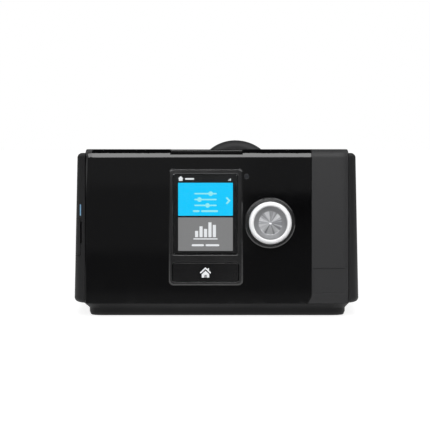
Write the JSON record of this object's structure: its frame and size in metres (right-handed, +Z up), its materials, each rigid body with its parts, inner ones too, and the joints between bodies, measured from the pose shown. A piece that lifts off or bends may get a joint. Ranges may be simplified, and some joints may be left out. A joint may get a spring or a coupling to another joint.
{
  "type": "positive airway pressure machine",
  "caption": "Bedside air-pressure therapy machine with leaning glossy front, colour display, turn-and-press dial, home and start buttons, slide-out water tub and rear air outlet.",
  "frame": {"origin": "on the table, under the middle of the machine with its dial and outlet port", "axes": "+Z up, front with the display towards -Y, water tub pulled out towards +X"},
  "size_m": [0.2066, 0.1557, 0.1238],
  "materials": {
    "shell_matte": "fine moulded texture",
    "panel_matte": "fine moulded texture",
    "fascia_gloss": "polished",
    "bezel_satin": "satin",
    "button_satin": "satin",
    "window_glass": "polished, dark",
    "lcd": "display",
    "dial_white": "satin pearl",
    "dial_metal": "spun",
    "light_pipe": "diffusing",
    "steel": "plain",
    "aluminium": "milled",
    "brass": "plated",
    "circuit_board": "solder mask",
    "silicone": "moulded",
    "rubber": "moulded",
    "foam": "open cell",
    "filter_felt": "felted",
    "clear_plastic": "clear",
    "inner_plastic": "plain"
  },
  "bodies": {
    "housing": {"base_tray": "panel_matte", "rear_housing": "shell_matte", "front_fascia": "fascia_gloss", "front_side_panel": "panel_matte", "left_side_cap": "shell_matte", "display_bezel": "bezel_satin", "display_window": "window_glass", "lcd_module": "lcd", "display_circuit_board": "circuit_board", "display_board_screws": "steel", "dial_surround": "bezel_satin", "dial_encoder": "steel", "button_switches": "inner_plastic", "light_sensor_lens": "window_glass", "status_light_pipe": "light_pipe", "card_door_pin": "steel", "card_socket": "steel", "main_circuit_board": "circuit_board", "adapter_connector": "inner_plastic", "blower_lower_scroll": "inner_plastic", "blower_upper_scroll": "inner_plastic", "blower_motor": "steel", "blower_isolators": "silicone", "blower_sleeve": "silicone", "muffler_foam": "foam", "filter_cover_pin": "steel", "air_filter": "filter_felt", "outlet_hood": "shell_matte", "outlet_port": "inner_plastic", "outlet_duct": "inner_plastic", "outlet_contacts": "brass", "power_inlet": "inner_plastic", "power_contacts": "brass", "humidifier_bay": "inner_plastic", "port_cuffs": "silicone", "base_screws": "steel", "rubber_feet": "rubber", "heater_pads": "silicone"},
    "home_button": {"home_button": "button_satin"},
    "dial_plunger": {"encoder_plunger": "inner_plastic"},
    "dial": {"dial_ring": "dial_white", "dial_dish": "dial_metal", "encoder_shaft": "steel"},
    "start_button": {"start_button": "bezel_satin"},
    "card_door": {"card_door": "shell_matte"},
    "memory_card": {"memory_card": "inner_plastic"},
    "adapter_cover": {"adapter_cover": "shell_matte"},
    "filter_cover": {"filter_cover": "shell_matte"},
    "retention_clip": {"retention_clip": "shell_matte"},
    "blower_rotor": {"impeller": "inner_plastic", "motor_shaft": "steel"},
    "heater_plate": {"heater_plate": "aluminium"},
    "water_tub": {"tub_base": "clear_plastic", "tub_metal_plate": "steel", "tub_seal": "silicone", "tub_lid": "clear_plastic", "tub_end_cap": "shell_matte"},
    "upper_latch": {"upper_latch": "shell_matte"},
    "lower_latch": {"lower_latch": "shell_matte"}
  },
  "joints": [
    {"name": "home_press", "type": "slide", "parent": "housing", "child": "home_button", "axis": [0, 0.9976, -0.0698], "range_m": [0, 0.0006], "stiffness_N_per_m": 1500, "springref_m": -0.0005},
    {"name": "dial_press", "type": "slide", "parent": "housing", "child": "dial_plunger", "axis": [0, 0.9976, -0.0698], "range_m": [0, 0.0005], "stiffness_N_per_m": 2500, "springref_m": -0.0006},
    {"name": "dial_turn", "type": "hinge", "parent": "dial_plunger", "child": "dial", "pos_m": [0.0373, -0.06836, 0.06667], "axis": [0, -0.9976, 0.0698], "continuous": true},
    {"name": "start_press", "type": "slide", "parent": "housing", "child": "start_button", "axis": [0, 0, -1], "range_m": [0, 0.0005], "stiffness_N_per_m": 1500, "springref_m": -0.0005},
    {"name": "card_door_swing", "type": "hinge", "parent": "housing", "child": "card_door", "pos_m": [-0.1001, -0.0352, 0.05645], "axis": [0, 0, -1], "range_deg": [0, 90]},
    {"name": "card_press", "type": "slide", "parent": "housing", "child": "memory_card", "axis": [1, 0, 0], "range_m": [0, 0.0008], "stiffness_N_per_m": 400, "springref_m": -0.0005},
    {"name": "adapter_cover_pull", "type": "slide", "parent": "housing", "child": "adapter_cover", "axis": [-1, 0, 0], "range_m": [0, 0.02]},
    {"name": "filter_cover_swing", "type": "hinge", "parent": "housing", "child": "filter_cover", "pos_m": [-0.0824, 0.0678, 0.058], "axis": [0, 0, 1], "range_deg": [0, 110]},
    {"name": "retention_clip_swing", "type": "hinge", "parent": "housing", "child": "retention_clip", "pos_m": [-0.012, 0.0715, 0.042], "axis": [1, 0, 0], "range_deg": [0, 100]},
    {"name": "blower_spin", "type": "hinge", "parent": "housing", "child": "blower_rotor", "pos_m": [-0.046, 0.0148, 0.06], "axis": [0, 0, 1], "continuous": true},
    {"name": "heater_give", "type": "slide", "parent": "housing", "child": "heater_plate", "axis": [0, 0, -1], "range_m": [0, 0.0015], "stiffness_N_per_m": 3000, "springref_m": -0.001, "deforming": ["heater_pads"]},
    {"name": "tub_slide", "type": "slide", "parent": "housing", "child": "water_tub", "axis": [1, 0, 0], "range_m": [0, 0.095]},
    {"name": "upper_latch_press", "type": "slide", "parent": "water_tub", "child": "upper_latch", "axis": [0, 0, -1], "range_m": [0, 0.0015], "stiffness_N_per_m": 800, "springref_m": -0.0008},
    {"name": "lower_latch_press", "type": "slide", "parent": "water_tub", "child": "lower_latch", "axis": [0, 0, 1], "range_m": [0, 0.0015], "stiffness_N_per_m": 800, "springref_m": -0.0008}
  ]
}
